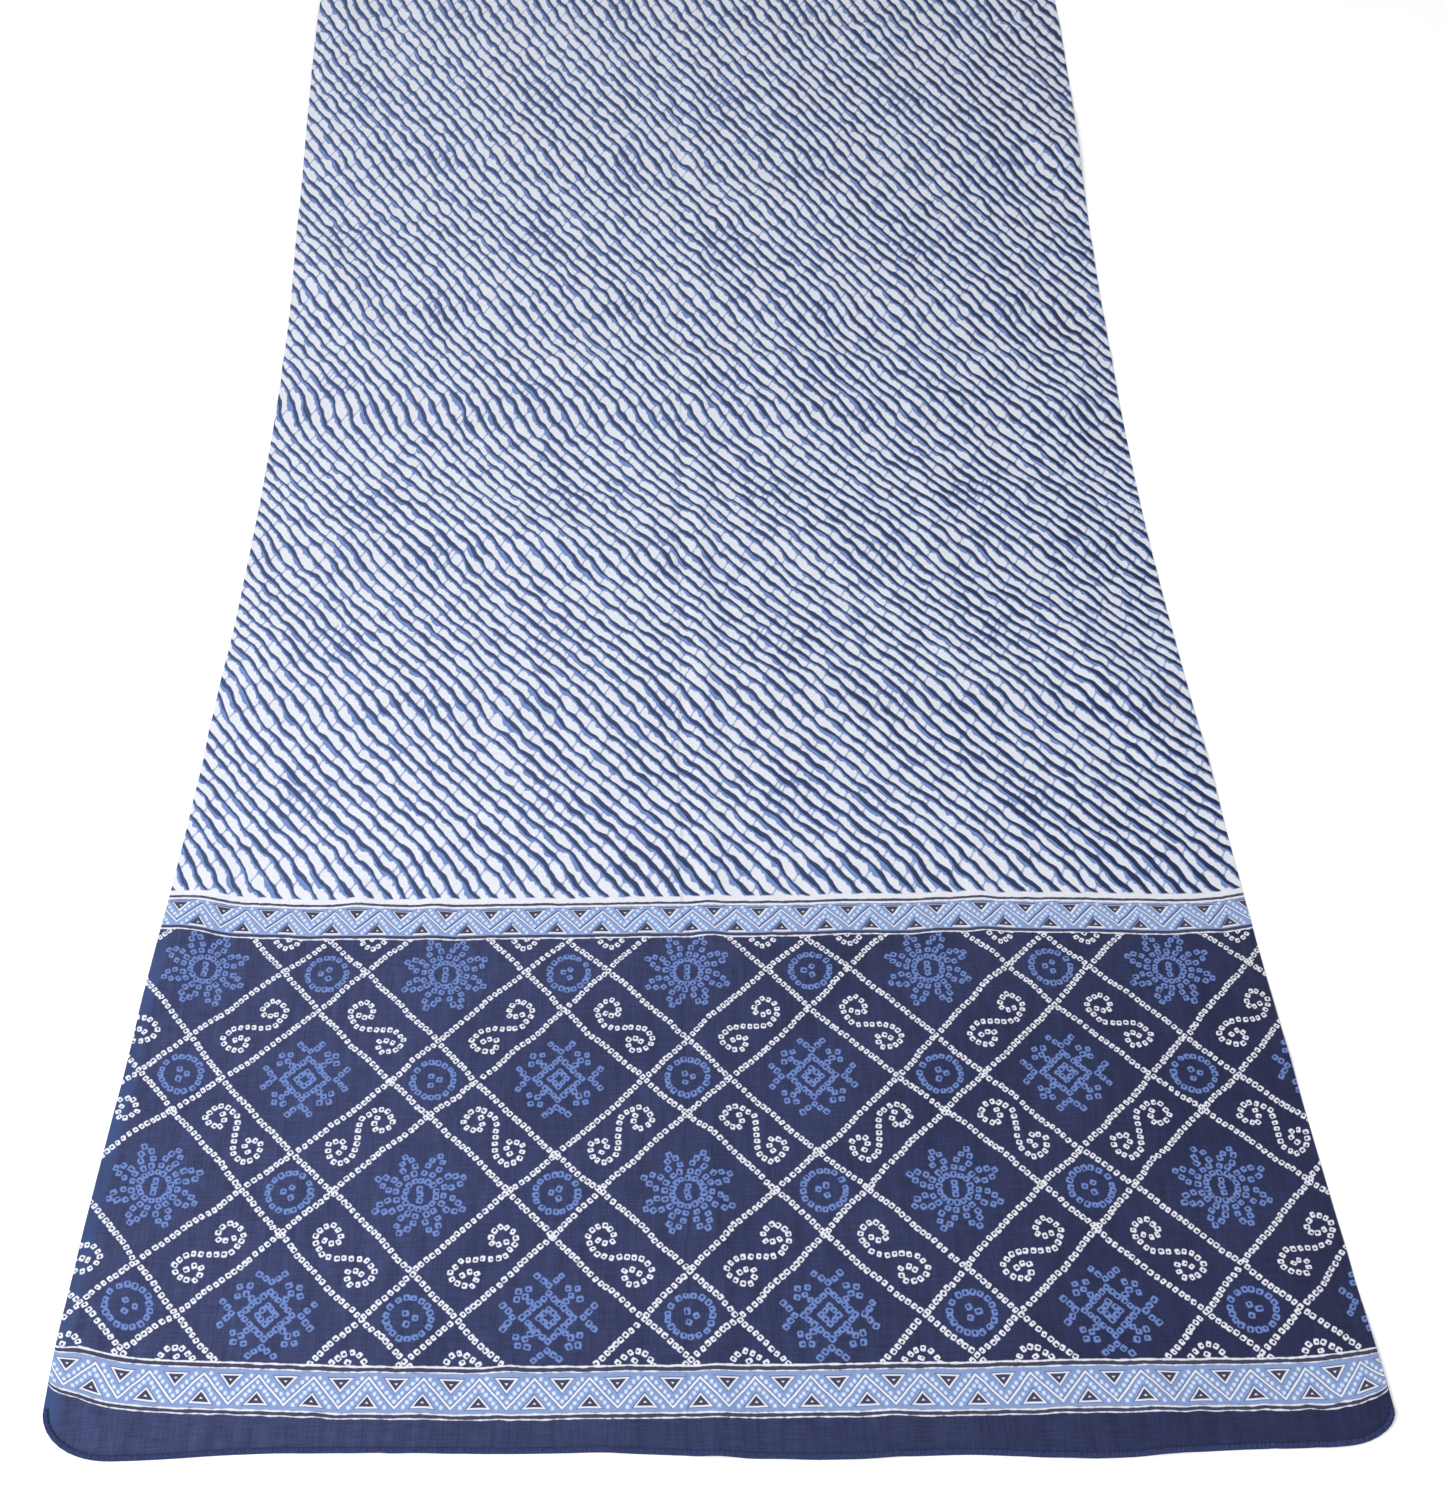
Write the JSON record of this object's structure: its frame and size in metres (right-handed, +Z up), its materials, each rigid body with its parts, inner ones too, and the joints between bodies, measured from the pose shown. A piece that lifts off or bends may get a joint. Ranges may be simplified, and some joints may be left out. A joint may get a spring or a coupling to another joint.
{
  "type": "bandhani dupatta",
  "caption": "Long thin printed cotton shawl cloth laid out flat, drawn in at its waist, with rolled end hems, rounded corners, storage creases and low ripples along its sides.",
  "frame": {"origin": "on the surface that the cloth lies on, under the middle of its box", "axes": "+X across the cloth, to the right seen from its near end, +Y along the cloth away from the near end, +Z up"},
  "size_m": [0.958, 2.5174, 0.0084],
  "materials": {
    "printed_cotton": "matte fine plain-weave cotton, printed in navy, light blue and white"
  },
  "bodies": {
    "root": {"dupatta": "printed_cotton"}
  },
  "joints": []
}
